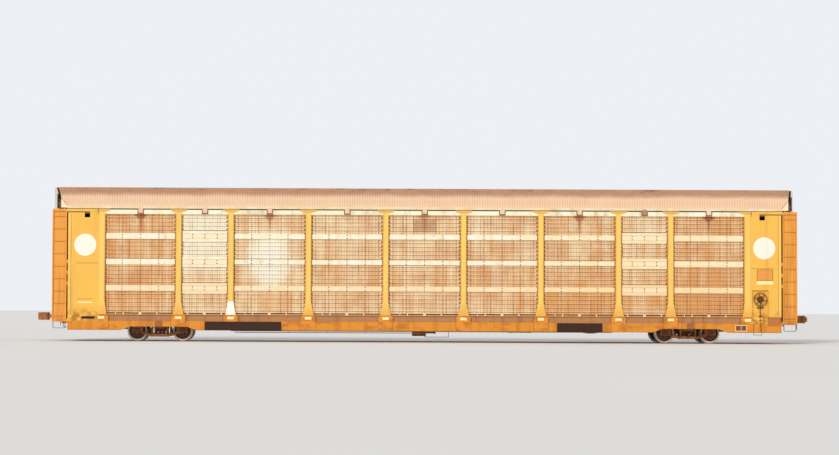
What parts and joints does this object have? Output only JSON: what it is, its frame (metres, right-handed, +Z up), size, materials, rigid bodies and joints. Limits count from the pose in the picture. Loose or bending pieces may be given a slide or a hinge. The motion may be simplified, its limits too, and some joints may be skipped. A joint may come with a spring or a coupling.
{
  "type": "autorack car",
  "caption": "Long enclosed autorack rail car: low flat car on trucks, corrugated side screens between posts, rounded roof, folding end doors, carries vehicles on decks.",
  "frame": {"origin": "centre of the car in plan, level with the lowest point of the wheels' flanges", "axes": "+X along the car, +Y across it, +Z up; the near side of the picture is -Y"},
  "size_m": [28.732, 3.048, 5.725],
  "materials": {
    "post_paint": "weathered satin",
    "sill_paint": "weathered satin",
    "ladder_paint": "weathered satin",
    "galvanised": "dull, patchy zinc",
    "roof_zinc": "dull zinc with rust",
    "door_steel": "dull zinc",
    "deck_steel": "worn, matt",
    "frame_brown": "worn, matt",
    "cast_steel": "rusty",
    "spring_steel": "rusty",
    "wheel_steel": "rusty, bright tread"
  },
  "bodies": {
    "car_body": {"centre_sill": "frame_brown", "draft_gears": "cast_steel", "side_sills": "sill_paint", "deck_curbs": "frame_brown", "cross_bearers": "frame_brown", "body_bolsters": "frame_brown", "deck_lower": "deck_steel", "deck_middle": "deck_steel", "deck_upper": "deck_steel", "end_sills": "frame_brown", "corner_steps": "galvanised", "end_panels": "post_paint", "top_rails": "roof_zinc", "roof": "roof_zinc", "roof_bows": "galvanised", "corner_posts": "frame_brown", "corner_ladders": "ladder_paint", "air_reservoir": "frame_brown", "brake_cylinder": "cast_steel", "control_valve": "cast_steel", "brake_rods": "galvanised", "hand_brake": "frame_brown", "side_step": "galvanised", "uncoupling_levers": "galvanised", "side_posts_far": "post_paint", "side_posts_near": "post_paint", "screens_far": "galvanised", "screens_near": "galvanised"},
    "truck_a": {"truck_a_side_frames": "cast_steel", "truck_a_bearings": "cast_steel", "truck_a_springs": "spring_steel", "truck_a_bolster": "cast_steel", "truck_a_brake_beams": "cast_steel"},
    "wheelset_inner_a": {"wheelset_inner_a": "wheel_steel"},
    "wheelset_outer_a": {"wheelset_outer_a": "wheel_steel"},
    "coupler_a": {"coupler_a": "cast_steel"},
    "knuckle_a": {"knuckle_a": "cast_steel"},
    "door_a_far_outer": {"door_a_far_outer": "door_steel"},
    "door_a_far_inner": {"door_a_far_inner": "door_steel"},
    "door_a_near_outer": {"door_a_near_outer": "door_steel"},
    "door_a_near_inner": {"door_a_near_inner": "door_steel"},
    "truck_b": {"truck_b_side_frames": "cast_steel", "truck_b_bearings": "cast_steel", "truck_b_springs": "spring_steel", "truck_b_bolster": "cast_steel", "truck_b_brake_beams": "cast_steel"},
    "wheelset_inner_b": {"wheelset_inner_b": "wheel_steel"},
    "wheelset_outer_b": {"wheelset_outer_b": "wheel_steel"},
    "coupler_b": {"coupler_b": "cast_steel"},
    "knuckle_b": {"knuckle_b": "cast_steel"},
    "door_b_far_outer": {"door_b_far_outer": "door_steel"},
    "door_b_far_inner": {"door_b_far_inner": "door_steel"},
    "door_b_near_outer": {"door_b_near_outer": "door_steel"},
    "door_b_near_inner": {"door_b_near_inner": "door_steel"}
  },
  "joints": [
    {"name": "truck_a_swivel", "type": "hinge", "parent": "car_body", "child": "truck_a", "pos_m": [-9.7535, 0, 0.63], "axis": [0, 0, 1], "range_deg": [-8, 8]},
    {"name": "wheelset_inner_a_spin", "type": "hinge", "parent": "truck_a", "child": "wheelset_inner_a", "pos_m": [-8.9155, 0, 0.3805], "axis": [0, 1, 0], "continuous": true},
    {"name": "wheelset_outer_a_spin", "type": "hinge", "parent": "truck_a", "child": "wheelset_outer_a", "pos_m": [-10.5915, 0, 0.3805], "axis": [0, 1, 0], "continuous": true},
    {"name": "coupler_a_swing", "type": "hinge", "parent": "car_body", "child": "coupler_a", "pos_m": [-13.05, 0, 0.901], "axis": [0, 0, 1], "range_deg": [-10, 10]},
    {"name": "knuckle_a_open", "type": "hinge", "parent": "coupler_a", "child": "knuckle_a", "pos_m": [-14.22, 0.112, 0.901], "axis": [0, 0, -1], "range_deg": [0, 45]},
    {"name": "door_a_far_outer_hinge", "type": "hinge", "parent": "car_body", "child": "door_a_far_outer", "pos_m": [-13.47, 1.385, 2.9], "axis": [0, 0, -1], "range_deg": [0, 75]},
    {"name": "door_a_far_inner_fold", "type": "hinge", "parent": "door_a_far_outer", "child": "door_a_far_inner", "pos_m": [-13.675, 0.62881, 2.9], "axis": [0, 0, -1], "range_deg": [-150, 0]},
    {"name": "door_a_near_outer_hinge", "type": "hinge", "parent": "car_body", "child": "door_a_near_outer", "pos_m": [-13.47, -1.385, 2.9], "axis": [0, 0, 1], "range_deg": [0, 75]},
    {"name": "door_a_near_inner_fold", "type": "hinge", "parent": "door_a_near_outer", "child": "door_a_near_inner", "pos_m": [-13.675, -0.62881, 2.9], "axis": [0, 0, 1], "range_deg": [-150, 0]},
    {"name": "truck_b_swivel", "type": "hinge", "parent": "car_body", "child": "truck_b", "pos_m": [9.7535, 0, 0.63], "axis": [0, 0, 1], "range_deg": [-8, 8]},
    {"name": "wheelset_inner_b_spin", "type": "hinge", "parent": "truck_b", "child": "wheelset_inner_b", "pos_m": [8.9155, 0, 0.3805], "axis": [0, 1, 0], "continuous": true},
    {"name": "wheelset_outer_b_spin", "type": "hinge", "parent": "truck_b", "child": "wheelset_outer_b", "pos_m": [10.5915, 0, 0.3805], "axis": [0, 1, 0], "continuous": true},
    {"name": "coupler_b_swing", "type": "hinge", "parent": "car_body", "child": "coupler_b", "pos_m": [13.05, 0, 0.901], "axis": [0, 0, 1], "range_deg": [-10, 10]},
    {"name": "knuckle_b_open", "type": "hinge", "parent": "coupler_b", "child": "knuckle_b", "pos_m": [14.22, -0.112, 0.901], "axis": [0, 0, -1], "range_deg": [0, 45]},
    {"name": "door_b_far_outer_hinge", "type": "hinge", "parent": "car_body", "child": "door_b_far_outer", "pos_m": [13.47, 1.385, 2.9], "axis": [0, 0, 1], "range_deg": [0, 75]},
    {"name": "door_b_far_inner_fold", "type": "hinge", "parent": "door_b_far_outer", "child": "door_b_far_inner", "pos_m": [13.675, 0.62881, 2.9], "axis": [0, 0, 1], "range_deg": [-150, 0]},
    {"name": "door_b_near_outer_hinge", "type": "hinge", "parent": "car_body", "child": "door_b_near_outer", "pos_m": [13.47, -1.385, 2.9], "axis": [0, 0, -1], "range_deg": [0, 75]},
    {"name": "door_b_near_inner_fold", "type": "hinge", "parent": "door_b_near_outer", "child": "door_b_near_inner", "pos_m": [13.675, -0.62881, 2.9], "axis": [0, 0, -1], "range_deg": [-150, 0]}
  ],
  "couplings": [
    {"joint": "door_a_far_inner_fold", "follows": "door_a_far_outer_hinge", "ratio": -2},
    {"joint": "door_a_near_inner_fold", "follows": "door_a_near_outer_hinge", "ratio": -2},
    {"joint": "door_b_far_inner_fold", "follows": "door_b_far_outer_hinge", "ratio": -2},
    {"joint": "door_b_near_inner_fold", "follows": "door_b_near_outer_hinge", "ratio": -2}
  ]
}
